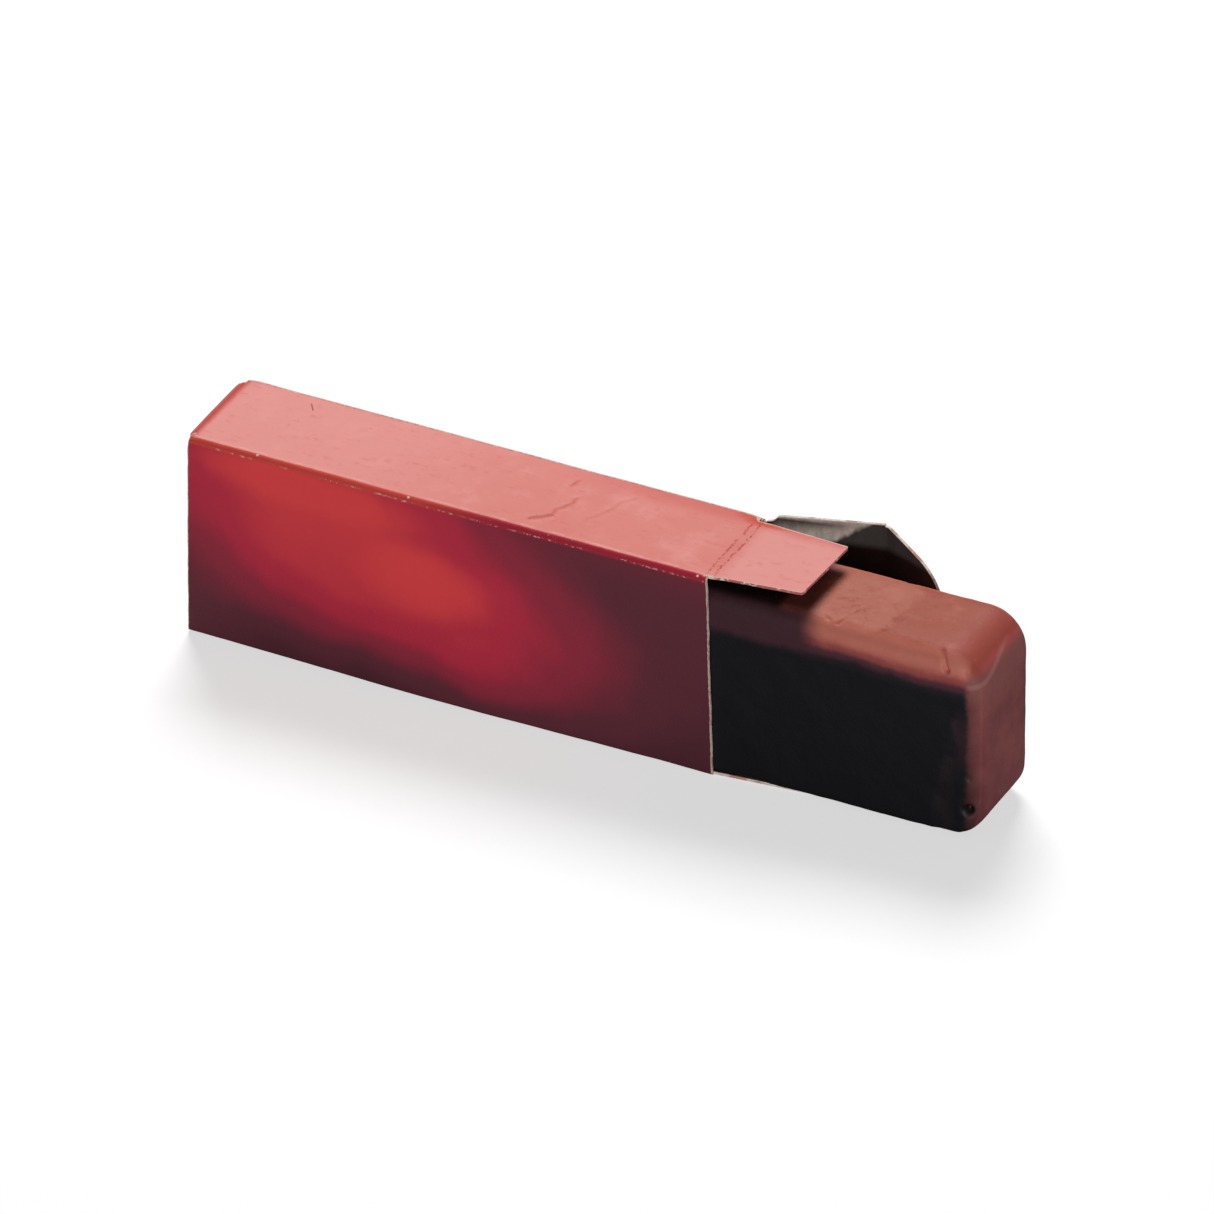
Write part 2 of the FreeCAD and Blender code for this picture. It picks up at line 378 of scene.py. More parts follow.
def half_width_at(along, length, root, tip, radius):
    """Half the width of a flap with straight, tapering sides and rounded corners, at a distance from its crease."""
    lean = math.atan2(root - tip, length)
    centre_along = length - radius
    centre_aside = root - centre_along * math.tan(lean) - radius / math.cos(lean)
    if along < centre_along + radius * math.sin(lean):
        return root - along * math.tan(lean)
    return centre_aside + math.sqrt(max(0.0, radius**2 - (along - centre_along) ** 2))


def crease(angle, low, high):
    """The rows over a crease, which turn by equal shares of its angle."""
    return [(CREASE_LENGTH / CREASE_ROWS, angle / CREASE_ROWS, low, high)] * CREASE_ROWS


def leaf(length, root, tip, radius, middle=0.0, lean=0.0):
    """The rows over a flap beyond its crease, shorter at its rounded corners. Its middle leans aside by the tip."""
    places = [*evenly(0.0, length - radius, CELL), length - radius]
    rounding = max(4, round(radius / (0.4 * MM)))
    places += [length - radius * (1.0 - math.sin(math.pi / 2 * i / rounding)) for i in range(1, rounding + 1)]
    rows = []
    before = 0.0
    for place in places:
        half = half_width_at(place, length, root, tip, radius)
        centre = middle + lean * place / length
        rows.append((place - before, 0.0, centre - half, centre + half))
        before = place
    return rows


# %% Fold the flaps
DUST_FLAP_LENGTH = 16.6 * MM
DUST_TIP = 8.25 * MM
DUST_CORNER = 0.5 * MM
CLOSING_LENGTH = 2 * BACK_Y - BOARD - TUCK_CLEARANCE - 2 * FOLD_RADIUS
OPEN_HALF = TOP_Z / 2 - 0.3 * MM
SHUT_HALF = TOP_Z / 2 - 0.6 * MM
CLOSING_NOTCH = 0.8 * MM
TUCK_LENGTH = 13.8 * MM
TUCK_SHOULDER = 0.4 * MM
TUCK_TAPER = 5.2 * MM
TUCK_CORNER = 9.5 * MM
FOLD_STEP = FOLD_RADIUS * (1.0 - math.cos(math.pi / 2 / FOLD_STEPS))
TO_MOUTH = Vector((1.0, 0.0, 0.0))
TO_SHUT = -TO_MOUTH
TO_FRONT = Vector((0.0, -1.0, 0.0))
ALONG_Y = Vector((0.0, 1.0, 0.0))
UP = Vector((0.0, 0.0, 1.0))


def dust_rows(angle, root_low, lean=0.0):
    """A dust flap. Its root runs from the given low end, and its tip is centred on the carton when it leans enough."""
    middle = (root_low + DUST_ROOT) / 2
    half = (DUST_ROOT - root_low) / 2
    return crease(angle, root_low, DUST_ROOT) + leaf(DUST_FLAP_LENGTH, half, DUST_TIP, DUST_CORNER, middle, lean)


def closing_rows(half, angle, tuck_angle):
    """The closing flap and its tongue. Small notches beside the crease keep it clear of the round folds."""
    low, high = middle_z - half, middle_z + half
    tuck_root = half - TUCK_SHOULDER
    fold = crease(angle, middle_z - CLOSING_ROOT, middle_z + CLOSING_ROOT)
    notch = [(CLOSING_NOTCH, 0.0, low, high)]
    count = round((CLOSING_LENGTH - CLOSING_NOTCH) / CELL)
    panel = [((CLOSING_LENGTH - CLOSING_NOTCH) / count, 0.0, low, high)] * count
    tongue_fold = crease(tuck_angle, middle_z - tuck_root, middle_z + tuck_root)
    return fold + notch + panel + tongue_fold + leaf(
        TUCK_LENGTH, tuck_root, tuck_root - TUCK_TAPER, TUCK_CORNER, middle_z
    )


def between_y(low, high, z):
    """Picks the points at one height between two places across the carton."""
    return lambda co: abs(co.z - z) < NEAR and low - NEAR < co.y < high + NEAR


def on_back(co):
    return co.y > BACK_Y - NEAR and abs(co.z - middle_z) < CLOSING_ROOT + NEAR


def before(limit):
    """Picks the points nearer to the front than a limit."""
    return lambda co: co.y < limit


SQUARE = 90.0
TOP_FLAP_RISE = 1.0
CLOSING_SWING = 16.5
TUCK_BEND = 37.5
reach = MOUTH_X - SLEEVE_END_X
back_rows = [(reach, 0.0, middle_z - CLOSING_ROOT, middle_z + CLOSING_ROOT)]
grow(sheet, edges_at(sheet, SLEEVE_END_X, on_back), TO_MOUTH, TO_FRONT, UP, back_rows)
grow(sheet, edges_at(sheet, -SLEEVE_END_X, on_back), TO_SHUT, TO_FRONT, UP, back_rows)
mouth_strip = edges_at(sheet, SLEEVE_END_X, before(FRONT_Y + 0.75 * FOLD_RADIUS))
grow(sheet, mouth_strip, TO_MOUTH, -TO_FRONT, UP, [(reach, 0.0, FOLD_STEP, TOP_Z - FOLD_STEP)])
shut_strip = edges_at(sheet, -SLEEVE_END_X, before(NEAR - DUST_ROOT))
grow(sheet, shut_strip, TO_SHUT, -TO_FRONT, UP, [(reach, 0.0, 0.0, TOP_Z)])

open_root = FLAT_FRONT_Y
open_lean = -(open_root + DUST_ROOT) / 2
for z, inward, rise in ((TOP_Z, -UP, -TOP_FLAP_RISE), (0.0, UP, 0.0)):
    mouth_edges = edges_at(sheet, SLEEVE_END_X, between_y(open_root, DUST_ROOT, z))
    grow(sheet, mouth_edges, TO_MOUTH, inward, ALONG_Y, dust_rows(rise, open_root, open_lean))
    shut_edges = edges_at(sheet, -SLEEVE_END_X, between_y(-DUST_ROOT, DUST_ROOT, z))
    grow(sheet, shut_edges, TO_SHUT, inward, ALONG_Y, dust_rows(SQUARE, -DUST_ROOT))
open_rows = closing_rows(OPEN_HALF, -CLOSING_SWING, TUCK_BEND)
grow(sheet, edges_at(sheet, MOUTH_X, on_back), TO_MOUTH, TO_FRONT, UP, open_rows)
shut_rows = closing_rows(SHUT_HALF, SQUARE, SQUARE)
grow(sheet, edges_at(sheet, SHUT_X, on_back), TO_SHUT, TO_FRONT, UP, shut_rows)
print("whole sheet", len(sheet.faces), "faces")

# %% [markdown]
# ## A carton that has been handled
# A new carton is square and flat, and this one isn't. The bar pushes its front panel out, the open end gapes, the
# closing flap has lifted a little, the lid sags and has pinched creases, and the corners are blunt. Each of these is a
# soft push that depends on a point's place, added up for every point of the sheet. Sculpting by hand would give the
# same, but could not be repeated. How creased a point is, and whether it lies on a raw edge, is kept on the point, so
# that the print can be rubbed along the raw edges and darkened with painted shade along the creases.

# %% Soft pushes
def eased(value, zero_at, one_at):
    """A smooth slope from 0 to 1 between two values."""
    share = min(1.0, max(0.0, (value - zero_at) / (one_at - zero_at)))
    return share * share * (3.0 - 2.0 * share)


def bell(value, middle, width):
    return math.exp(-(((value - middle) / width) ** 2))


def wander(value, scale, seed):
    """Smooth noise along a line, from about -1 to 1."""
    return noise.noise(Vector((value / scale, seed, 0.5)))


def beside(place, path):
    """How far a place is from a line of straight runs."""
    nearest = math.inf
    for start, end in zip(path, path[1:]):
        along = end - start
        share = min(1.0, max(0.0, (place - start).dot(along) / along.length_squared))
        nearest = min(nearest, (place - start - along * share).length)
    return nearest


# %% Push the sheet out of true
HALF_X, HALF_Y, LID_Z = MOUTH_X / MM, BACK_Y / MM, TOP_Z / MM
KEYSTONE = 0.45
FRONT_BOW = 0.95
BACK_FLARE = 0.9
LID_SAG = 0.2
CORNER_CRUSH = 0.35
CORNER_REACH = 1.6
FLAP_LIFT = 0.5
FLAP_LIFT_SLOPE = 0.02
MARKED_DEPTH = 0.16
LID_CREASES = (
    (((18.7, 2.0), (18.6, 0.4), (17.6, -2.0), (17.0, -4.0)), 0.36, 0.16),
    (((17.3, -4.9), (16.2, -6.3), (14.6, -7.1)), 0.48, 0.26),
    (((16.2, 7.2), (15.8, 5.2)), 0.32, 0.14),
    (((27.5, 6.2), (25.7, 3.8), (25.4, 1.3), (24.2, -0.8), (23.0, -3.4)), 0.36, 0.09),
)


def creased(x, y):
    """How deep the lid is creased at a place. The lines waver and come and go."""
    spot = Vector((x + 0.45 * wander(y, 1.3, 4.0), y + 0.45 * wander(x, 1.3, 8.0)))
    depths = [deep * bell(beside(spot, [Vector(p) for p in path]), 0.0, width) for path, width, deep in LID_CREASES]
    return max(depths) * (0.8 + 0.5 * wander(x - y, 1.1, 6.0))


def settled(place):
    """Where a point of the true sheet has moved to. All in millimetres."""
    x, y, z = place
    near_front = eased(-y, HALF_Y - 3.0, HALF_Y - 0.3)
    front_share = (HALF_Y - y) / (2 * HALF_Y)
    is_lid = z > LID_Z - 0.01
    is_seam = abs(z - (TOP_Z - BOARD - SEAM_GAP) / MM) < 0.01
    moved = Vector(place)
    moved.x -= KEYSTONE * x / HALF_X * (2 * z / LID_Z - 1.0) * front_share
    upright = 0.1 + 0.9 * (1.0 - ((z - 16.0) / 24.0) ** 4)
    moved.y -= FRONT_BOW * bell(x, -3.0, 30.0) * upright * near_front
    gape = BACK_FLARE * eased(x, 20.0, HALF_X) ** 2
    back_share = 1.0 if x > HALF_X + 0.01 and y > 0 and not is_lid else eased(y, 6.0, 10.5)
    moved.y += gape * (0.0 if is_lid else 1.0 if is_seam else back_share)
    if x > HALF_X and y > HALF_Y - 0.5 and not is_lid:
        moved.z += FLAP_LIFT * eased(x, HALF_X, HALF_X + 2.0) + FLAP_LIFT_SLOPE * (x - HALF_X)
    if is_lid or is_seam:
        moved.z -= LID_SAG * max(0.0, 1.0 - (x / HALF_X) ** 2) * max(0.0, 1.0 - (y / HALF_Y) ** 2)
        moved.z -= creased(x, y) - 0.5 * creased(x - 0.8, y + 0.5)
    for corner_x in (-HALF_X, HALF_X):
        for corner_y in (-HALF_Y, HALF_Y):
            corner = Vector((corner_x, corner_y, LID_Z))
            blunt = bell((moved - corner).length, 0.0, CORNER_REACH)
            moved.z -= CORNER_CRUSH * blunt
            moved.x -= math.copysign(CORNER_CRUSH * blunt * 0.4, corner_x)
    if abs(y + HALF_Y) < 0.01 and abs(x) > HALF_X - 0.4:
        moved.x += 0.12 * wander(z, 2.5, x)
    return moved


sheet.normal_update()
bmesh.ops.recalc_face_normals(sheet, faces=sheet.faces[:])
top_face = max(sheet.faces, key=lambda face: face.calc_center_median().z)
if top_face.normal.z < 0:
    bmesh.ops.reverse_faces(sheet, faces=sheet.faces[:])
raw_edge = sheet.verts.layers.float.new("raw_edge")
crease_mark = sheet.verts.layers.float.new("crease_mark")
for point in sheet.verts:
    place = point.co / MM
    point[raw_edge] = 1.0 if point.is_boundary else 0.0
    point[crease_mark] = creased(place.x, place.y) / MARKED_DEPTH if place.z > LID_Z - 0.01 else 0.0
    ripple = 0.07 * noise.noise(place / 9.0) + 0.02 * noise.noise(place / 2.6)
    seam_hidden = abs(place.z - (TOP_Z - BOARD - SEAM_GAP) / MM) < 0.01
    point.co = (settled(place) + (0.0 if seam_hidden else ripple) * point.normal) * MM
for face in sheet.faces:
    face.smooth = True
print("lowest point", round(min(v.co.z for v in sheet.verts) / MM, 3), "mm")

# %% Turn a finished mesh into an object
def finish_mesh(mesh, name, materials):
    """Turns a bmesh into an object at the origin, with these materials."""
    data = bpy.data.meshes.new(name)
    mesh.to_mesh(data)
    mesh.free()
    for material in materials:
        data.materials.append(material)
    made = bpy.data.objects.new(name, data)
    bpy.context.scene.collection.objects.link(made)
    return made


# %% [markdown]
# ## The bar's skin
# The bar is cast, so its skin is never flat. The CAD solid gives its true outline. A copy is remeshed into small even
# cells and smoothed, and each point is pushed in or out by soft noise, so that the unevenness is real shape and not
# only shading.

# %% Copy and remesh the bar
SKIN_CELL = 0.45 * MM
SMOOTH_TIMES = 10


def remeshed(node, cell):
    """A copy of a CAD node's mesh, made of small even cells."""
    solid = bmesh.new()
    solid.from_mesh(frame["nodes"][node].data)
    bmesh.ops.remove_doubles(solid, verts=solid.verts[:], dist=0.001 * MM)
    coarse = finish_mesh(solid, node + "_coarse", [])
    remesh = coarse.modifiers.new("cells", "REMESH")
    remesh.mode = "VOXEL"
    remesh.voxel_size = cell
    bpy.context.view_layer.update()
    even = bpy.data.meshes.new_from_object(coarse.evaluated_get(bpy.context.evaluated_depsgraph_get()))
    bpy.data.objects.remove(coarse)
    mesh = bmesh.new()
    mesh.from_mesh(even)
    for _ in range(SMOOTH_TIMES):
        bmesh.ops.smooth_vert(mesh, verts=mesh.verts[:], factor=0.5, use_axis_x=True, use_axis_y=True, use_axis_z=True)
    return mesh


skin = remeshed("compound_bar", SKIN_CELL)
print("even skin", len(skin.faces), "faces")

# %% [markdown]
# ## Cracks, nicks and chips
# The wax cracked a little as it cooled, and its edges got knocked. A crack is narrower than the cells of the skin, so
# the cells are divided first where the marks lie. Then each mark presses the points near its line inwards. A bump
# texture would be cheaper, but it leaves the outline smooth, and the nick and the chip are seen on the outline.

# %% Finer cells where the marks lie
BAR_TOP = bar_high.z / MM
BAR_FRONT = bar_low.y / MM


def near_cracks(co):
    return co.z > BAR_TOP - 0.6 and 68.5 < co.x < 83.0 and -10.0 < co.y < 1.5


def near_knocks(co):
    return co.x > 91.0 and co.y < BAR_FRONT + 3.5


divide(skin, lambda co: near_cracks(co) or near_knocks(co))
print("divided skin", len(skin.faces), "faces")

# %% Press the marks in
CRACKS = (
    (((70.6, -1.6), (72.4, -0.9), (73.6, -1.9), (74.1, -2.6)), 0.34, 0.24),
    (((73.0, -9.2), (73.8, -7.8), (74.6, -6.6), (75.4, -4.4), (75.7, -3.2)), 0.36, 0.24),
    (((75.7, -3.2), (77.0, -3.8), (78.7, -3.1)), 0.30, 0.20),
    (((73.0, -9.4), (72.2, -8.2), (70.9, -7.4)), 0.30, 0.14),
    (((82.0, -5.8), (82.4, -5.1)), 0.35, 0.16),
)
NICK = (Vector((93.3, -8.3, 36.5)), Vector((93.9, -9.2, 35.4)), Vector((94.6, -9.8, 33.2)))
SCRAPE = ((6.6, 91.8), (13.2, 93.6), (19.5, 94.5), (23.9, 95.4), (26.1, 96.4), (28.5, 98.0))
CHIPS = (
    ((98.9, -9.5, 6.2), 0.9, 1.5),
    ((101.2, 0.0, 27.0), 0.28, 0.3),
    ((94.4, -9.7, 33.4), 0.55, 0.6),
    ((101.2, 3.4, 8.9), 0.32, 0.35),
    ((101.0, 5.6, 33.6), 0.35, 0.35),
    ((98.9, -9.4, 12.5), 0.5, 0.3),
)


def scrape_x(z):
    """Where the scraped strip beside the front edge of the end begins, at a height."""
    for (low_z, low_x), (high_z, high_x) in zip(SCRAPE, SCRAPE[1:]):
        if z <= high_z:
            return low_x + (high_x - low_x) * max(0.0, (z - low_z) / (high_z - low_z))
    return SCRAPE[-1][1] + z - SCRAPE[-1][0]


def pressed(place):
    """How deep the marks are at a place on the bar. All in millimetres."""
    depth = 0.0
    if near_cracks(place):
        flat = Vector((place.x + 0.55 * wander(place.y, 1.1, 2.0), place.y + 0.55 * wander(place.x, 1.1, 5.0)))
        strength = 0.65 + 0.9 * wander(place.x - place.y, 1.0, 6.0)
        for path, width, deep in CRACKS:
            depth += strength * deep * bell(beside(flat, [Vector(spot) for spot in path]), 0.0, width)
    if near_knocks(place):
        depth += 0.55 * bell(beside(place, NICK), 0.0, 0.42)
        strip = place.x - scrape_x(place.z)
        if 0.0 < strip and place.y < BAR_FRONT + 2.0:
            depth += min(0.2, 0.14 * strip) * (0.8 + 0.5 * noise.noise(place / 3.0))
    if place.x > 90.0:
        for centre, radius, deep in CHIPS:
            depth += deep * bell((place - Vector(centre)).length, 0.0, radius)
    ledge = 81.6 + 1.6 * wander(place.y, 3.6, 3.0) + 0.5 * wander(place.y, 1.1, 7.0)
    rough = 0.07 * noise.noise(place / 1.3) * eased(place.x, 69.0, 71.5) * eased(place.x, 82.0, 78.0)
    lower = 0.09 * eased(place.x, ledge - 0.6, ledge + 0.6) * eased(place.x, 96.0, 88.0)
    depth += (rough + lower) * eased(place.z, BAR_TOP - 2.8, BAR_TOP - 0.3)
    return depth


FIRM_X = 78.0
EXTRA_YAW = 0.45
LUMPS = ((12.0, 0.11), (4.5, 0.09), (1.5, 0.03))
skin.normal_update()
for point in skin.verts:
    place = point.co / MM
    swell = sum(height * noise.noise(place / size) for size, height in LUMPS)
    place += point.normal * (swell - pressed(place))
    place.y += (place.x - FIRM_X) * math.radians(EXTRA_YAW)
    point.co = place * MM
for face in skin.faces:
    face.smooth = True
print("bar skin", len(skin.faces), "faces")

# %% [markdown]
# ## Printed board
# The front panel is printed with a soft red glow that fades to maroon, and the lid is salmon pink. The print is thin:
# it has cracked and rubbed off along the folds and the raw edges, where the pale board shows. An image would need an
# image file, so the glow is worked out instead: the distance from the middle of a tilted oval, with a few softer ovals
# added, through a ramp of five reds. The front and the folds get less light than the lid, so their inks are written
# that much brighter.

# %% Inks of the front panel
# The share of the light that each side gets. Where there is a second number, it is what the gloss adds
FRONT_LIGHT = 0.56
FOLD_LIGHT = 0.68
LID = (0.82, 0.065)
GLOW_MIDDLE = (-19.7, 25.1)
GLOW_REACH = (53.9, 19.5)
GLOW_TILT = -0.196


def glowing_print(f):
    """The reds of the front panel, from maroon far from the glow to bright red in it."""
    dx, dz = f.x - GLOW_MIDDLE[0], f.z - GLOW_MIDDLE[1]
    along = (dx * math.cos(GLOW_TILT) + dz * math.sin(GLOW_TILT)) * (1 / GLOW_REACH[0])
    across = (dz * math.cos(GLOW_TILT) - dx * math.sin(GLOW_TILT)) * (1 / GLOW_REACH[1])
    cloud = (f.noise(11.0, 3.0, shift=7.0) - 0.5) * 0.22
    inside = ((along * along + across * across) ** 0.5 + cloud).step(1.37, 0.32)
    level = (inside * 96 + 74 + (f.z - 20.0) * 0.5) * (1 / 255)
    middle_x, middle_height = f.x + 2.0, f.z - 24.0
    tail_x, tail_height = f.x - 9.0, f.z - 9.5
    hot = (middle_x * middle_x * 0.003 + middle_height * middle_height * 0.012).step(1.0, 0.0)
    tail = (tail_x * tail_x * 0.005 + tail_height * tail_height * 0.014).step(1.0, 0.0)
    upper = f.z.step(30.0, 38.5) * (f.x.step(13.0, -6.0) * 0.07 + 0.03)
    level = level + hot * 0.04 + tail * 0.05 + upper
    level = level + f.x.step(-30.0, -50.0) * (0.05 - f.z.step(6.0, 22.0) * 0.12)
    dip_x, dip_height = f.x + 10.0, f.z - 5.0
    level = level - (dip_x * dip_x * 0.004 + dip_height * dip_height * 0.02).step(1.0, 0.0) * 0.06
    stops = (
        (0.20, paint(52, 27, 35, FRONT_LIGHT)),
        (0.31, paint(79, 37, 46, FRONT_LIGHT)),
        (0.47, paint(121, 37, 52, FRONT_LIGHT)),
        (0.61, paint(154, 38, 56, FRONT_LIGHT)),
        (0.73, paint(186, 56, 58, FRONT_LIGHT)),
    )
    return f.ramp(level, stops)


# %% Inks of the lid
def lid_print(f):
    """The salmon of the lid and of the flap, redder towards the mouth, with painted shade in its creases and a painted
    highlight along its front edge.
    """
    cloud = f.noise(8.0, 4.0, 0.6)
    along = (f.x + (cloud - 0.5) * 30.0).step(-30.0, 18.0)
    colour = f.blend(along, paint(222, 148, 142, *LID), paint(216, 134, 126, *LID))
    colour = f.blend(f.x.step(50.0, 53.5), colour, paint(223, 150, 144, *LID))
    colour = f.blend(cloud.step(0.45, 0.8) * 0.7, colour, paint(227, 156, 149, *LID))
    rubbed = f.noise(2.2, 3.0, 0.6, stretch=(1.0, 2.0, 1.0), shift=3.0)
    colour = f.blend(rubbed.step(0.55, 0.75) * 0.4, colour, paint(204, 116, 108, *LID))
    back_side = (f.y + (cloud - 0.5) * 3.0).step(5.5, 9.5) * f.x.step(8.0, 42.0)
    colour = f.blend(back_side * 0.8, colour, paint(207, 112, 104, *LID))
    wobble = (f.noise(1.6, 2.0, shift=1.0) - 0.5) * 1.0
    dots = f.noise(0.7, 3.0, 0.7).step(0.44, 0.56)
    crease_lines = abs(f.x - 49.3 + wobble).step(0.36, 0.08).most(abs(f.x - 50.8 + wobble).step(0.36, 0.08))
    between_lines = abs(f.x - 50.0).step(1.2, 0.5) * f.noise(1.2, 2.0, shift=5.0).step(0.45, 0.65)
    colour = f.blend(between_lines * 0.4, colour, paint(205, 118, 108, *LID))
    colour = f.blend(crease_lines * dots * 0.85, colour, paint(180, 80, 72, *LID))
    dx, dy = (f.x - 51.5) * (1 / 6.5), (f.y - 9.6) * (1 / 2.2)
    corner = (dx * dx + dy * dy + (rubbed - 0.5) * 1.2).step(1.2, 0.1)
    colour = f.blend(corner * 0.85, colour, paint(200, 92, 76, *LID))
    shut_end = (f.x + (rubbed - 0.5) * 0.8).step(-48.3, -49.6)
    colour = f.blend(shut_end * 0.85, colour, paint(194, 86, 82, *LID))
    back_fold = (f.y + (rubbed - 0.5) * 0.4).step(10.0, 10.4)
    colour = f.blend(back_fold * 0.9, colour, paint(172, 66, 64, *LID))
    # Painted shade along the lid's creases
    colour = f.blend(f.kept("crease_mark").step(0.25, 1.0) * 0.6, colour, paint(190, 88, 82, *LID))
    # A painted highlight along the lid's front edge, broken up by noise
    front_highlight = abs(f.y + 9.75).step(0.4, 0.1) * rubbed.step(0.4, 0.6)
    colour = f.blend(front_highlight * 0.5, colour, paint(232, 172, 162, *LID))
    scuff = abs((f.x + 35.5) + (f.y - 7.3) * 0.7).step(0.22, 0.05) * abs(f.y - 7.3).step(1.1, 0.8)
    return f.blend(scuff * 0.8, colour, paint(120, 58, 56, *LID))


# %% The printed side, with wear
SPECKS = ((-36.6, -10.5, 39.9), (-7.2, -10.7, 39.8), (48.2, -10.6, 39.7), (50.0, -10.2, 39.9))


def printed_board():
    f = Finish("printed_board")
    ragged = f.noise(0.6, 3.0, 0.65, shift=6.0)
    over_fold = (f.noise(1.1, 2.0, 0.6) - 0.5) * 0.25
    on_front = (f.y + over_fold).step(-10.1, -10.4)
    crimson = f.blend(f.x.step(14.0, -12.0), paint(152, 36, 51, FOLD_LIGHT), paint(184, 66, 57, FOLD_LIGHT))
    fold_band = (f.z + over_fold * 0.8).step(38.5, 39.3)
    front = f.blend(fold_band * 0.95, glowing_print(f), crimson)
    colour = f.blend(on_front, lid_print(f), front)
    long_fold = abs(f.y).step(10.05, 10.6) * abs(f.z - 20.0).step(19.2, 19.8)
    patchy = f.noise(5.0, 2.0, shift=4.0)
    worn = long_fold * f.noise(0.5, 3.0, 0.7).step(0.64, 0.70) * patchy.step(0.5, 0.62) * 0.7
    dashes = abs(f.z - 39.05 + over_fold * 1.5).step(0.2, 0.06) * on_front * ragged.step(0.5, 0.58)
    worn = worn.most(dashes * patchy.step(0.42, 0.55) * 0.6)
    for speck in SPECKS:
        worn = worn.most(f.spot(speck, 0.3) * 0.9)
    inside_end = f.x.step(-49.6, -50.0) * f.y.step(-10.2, -9.8)
    raw = (f.kept("raw_edge") + (ragged - 0.5) * 0.5).step(0.66, 0.88) * (1 - inside_end)
    worn = worn.most(raw * 0.8)
    colour = f.blend(worn, colour, paint(236, 206, 190, 0.95))
    sheen = f.blend(worn, grey(0.48), grey(0.85))
    grain = f.noise(0.7, 3.0, 0.55) + f.noise(4.0, 2.0, 0.5) * 2.0 - worn * 0.8
    return f.principled(
        {"Base Color": colour, "Roughness": sheen, "Normal": f.bump(grain, 0.03 * MM), "Specular IOR Level": 0.15}
    )


# %% [markdown]
# ## Grey side and cut edges
# Carton board is pulped paper: its back is a brownish grey with darker fibres in it, and where it is cut the pale
# layers under the print show. Both are matt. The grey is painted nearly black inside the carton and low on the closing
# flap, as painted shade. The edges of the lid's flap and of the shut end are stained with ink.

# %% Grey side and cut edges
def grey_back():
    f = Finish("grey_back")
    fibre = f.noise(1.6, 5.0, 0.7, stretch=(1.0, 1.0, 0.5))
    flecks = f.noise(0.35, 2.0, 0.6).step(0.62, 0.72)
    colour = f.blend(fibre.step(0.3, 0.7), paint(158, 146, 137), paint(192, 180, 170))
    colour = f.blend(flecks * 0.5, colour, paint(96, 84, 76))
    # Painted shade: nearly black inside the carton and below a slanting line on the closing flap
    shade_line = f.z - 34.8 - (f.x - 60.0).most(0.0) * 0.72 + (fibre - 0.5) * 1.4
    inside_shade = shade_line.step(0.9, -0.4).most(f.x.step(53.0, 50.5))
    colour = f.blend(inside_shade * 0.95, colour, paint(24, 19, 18))
    frayed = (f.kept("raw_edge") + (fibre - 0.5) * 0.5).step(0.62, 0.85)
    colour = f.blend(frayed * 0.85, colour, paint(214, 204, 190))
    return f.principled({"Base Color": colour, "Roughness": 0.9, "Normal": f.bump(fibre, 0.05 * MM)})


def cut_edge():
    f = Finish("cut_edge")
    fibre = f.noise(0.4, 4.0, 0.65)
    colour = f.blend(fibre.step(0.3, 0.7), paint(216, 188, 172), paint(250, 240, 228))
    stained = f.noise(2.4, 2.0, 0.6, shift=8.0).step(0.5, 0.65) * 0.7
    lid_flap = f.z.step(38.6, 39.2) * f.x.step(50.6, 51.6) * f.y.step(9.6, 8.8)
    shut_end = f.x.step(-49.8, -50.2) * f.y.step(-10.2, -9.8)
    stained = stained.most(lid_flap * f.noise(0.9, 2.0, shift=2.0).step(0.62, 0.5) * 0.95).most(shut_end * 0.95)
    colour = f.blend(stained, colour, paint(186, 94, 88))
    return f.principled({"Base Color": colour, "Roughness": 0.95, "Normal": f.bump(fibre, 0.06 * MM)})


# %% [markdown]
# ## Compound
# The bar is rouge: iron oxide in hard wax. Its top, where it was poured, and its end are a dull red brown, a little
# waxy. Its two long sides are painted nearly black, as painted shade. The painted shade fades out over the top edges
# and ends in a ragged line at the end. The colours follow the place on the bar, with noise to break them up. The top
# near the carton, under the lid's flap, gets a painted shadow of the flap, and the end gets painted shade by its front
# edge and a painted highlight. Each side gets its own share of the light, so each colour is written that much brighter.

# %% Red compound
TOP = (0.857, 0.062)
END = (0.42, 0.008)
SIDE_LIGHT = 0.62


